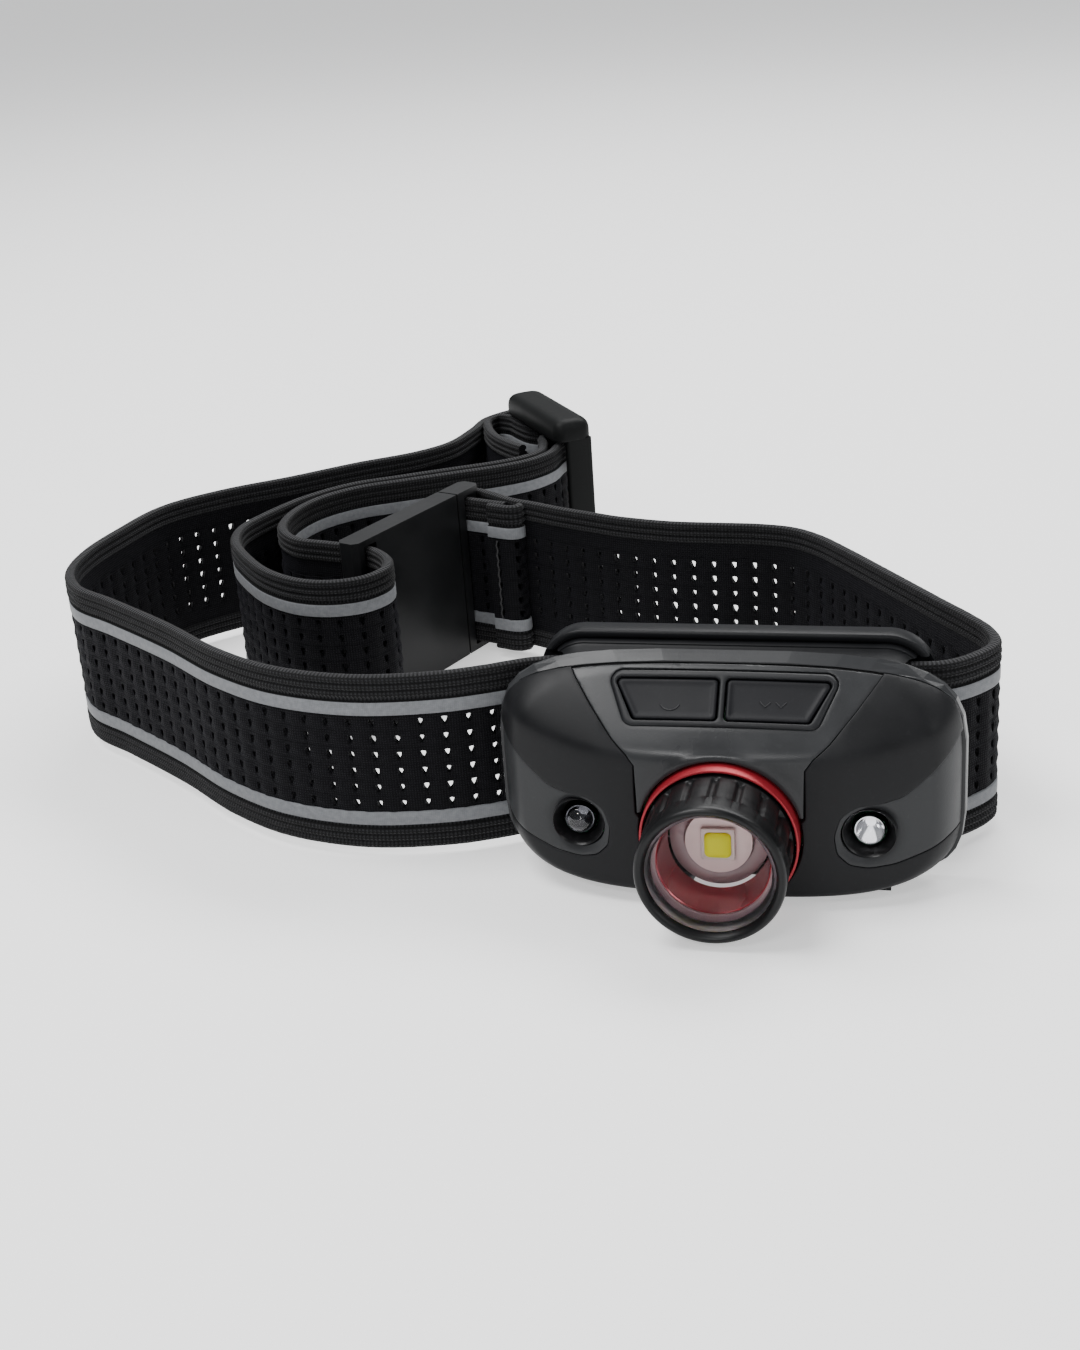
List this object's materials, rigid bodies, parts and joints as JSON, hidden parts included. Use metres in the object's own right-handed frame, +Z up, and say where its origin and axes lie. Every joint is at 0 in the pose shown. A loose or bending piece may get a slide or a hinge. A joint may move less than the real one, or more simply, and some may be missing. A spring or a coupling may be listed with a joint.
{
  "type": "headlamp",
  "caption": "Headlamp with a tilting head, focusing main light, side lights and sloping push buttons on a perforated elastic band with slider and release buckle",
  "frame": {"origin": "Centre of the bracket's flat bottom face, which stands on the surface; the head and band stand on the same plane.", "axes": "+X to the viewer's right when the lamp is seen from the front, -Y along the beam, +Z up."},
  "size_m": [0.1682, 0.1749, 0.0368],
  "materials": {
    "shell_grey": "fine satin texture",
    "soft_black": "soft-touch overmould",
    "black_plastic": "smooth moulded",
    "bezel_black": "black anodised",
    "red_anodised": "red anodised",
    "steel": "plated",
    "alloy": "machined",
    "pad_foam": "closed foam",
    "strap_knit": "knitted elastic with silver edge stripes",
    "seal_rubber": "moulded",
    "board_white": "white solder mask",
    "led_yellow": "phosphor",
    "board_green": "solder mask",
    "battery_foil": "foil pouch",
    "clear_epoxy": "clear epoxy",
    "clear_lens": "polished"
  },
  "bodies": {
    "band": {"bracket": "shell_grey", "hinge_pin": "steel", "forehead_pad": "pad_foam", "strap_main": "strap_knit", "strap_slider": "black_plastic", "buckle_socket": "black_plastic"},
    "buckle_end": {"strap_end": "strap_knit", "buckle_hook": "black_plastic"},
    "head": {"housing_front": "black_plastic", "housing_rear": "shell_grey", "face_panel": "shell_grey", "side_panel_left": "shell_grey", "side_panel_right": "shell_grey", "grip_left": "soft_black", "grip_right": "soft_black", "gasket": "seal_rubber", "screw_1": "steel", "screw_2": "steel", "screw_3": "steel", "screw_4": "steel", "heat_sink": "alloy", "led_board": "board_white", "main_led": "led_yellow", "control_board": "board_green", "switch_board": "board_green", "battery": "battery_foil", "red_ring": "red_anodised", "side_led_left": "clear_epoxy", "side_led_right": "clear_epoxy", "led_reflector_left": "black_plastic", "led_reflector_right": "black_plastic", "button_bezel": "shell_grey", "switch_power": "steel", "switch_mode": "steel", "charge_port": "steel"},
    "focus": {"focus_bezel": "bezel_black", "focus_sleeve": "red_anodised", "lens": "clear_lens", "lens_retainer": "bezel_black"},
    "power_button": {"button_power": "soft_black"},
    "mode_button": {"button_mode": "soft_black"},
    "port_flap": {"port_cover": "soft_black"}
  },
  "joints": [
    {"name": "head_tilt", "type": "hinge", "parent": "band", "child": "head", "pos_m": [0, -0.0081, 0.0032], "axis": [1, 0, 0], "range_deg": [0, 45]},
    {"name": "focus_slide", "type": "slide", "parent": "head", "child": "focus", "axis": [0, 1, 0], "range_m": [0, 0.0045]},
    {"name": "power_press", "type": "slide", "parent": "head", "child": "power_button", "axis": [0, 0.6841, -0.7294], "range_m": [0, 0.0006], "stiffness_N_per_m": 800, "springref_m": -0.0003},
    {"name": "mode_press", "type": "slide", "parent": "head", "child": "mode_button", "axis": [0, 0.6841, -0.7294], "range_m": [0, 0.0006], "stiffness_N_per_m": 800, "springref_m": -0.0003},
    {"name": "port_open", "type": "hinge", "parent": "head", "child": "port_flap", "pos_m": [0.0199, -0.0131, 0.00125], "axis": [1, 0, 0], "range_deg": [0, 90]},
    {"name": "buckle_release", "type": "hinge", "parent": "band", "child": "buckle_end", "pos_m": [-0.03, 0.064, 0.0166], "axis": [0, 0, -1], "range_deg": [0, 25]}
  ]
}
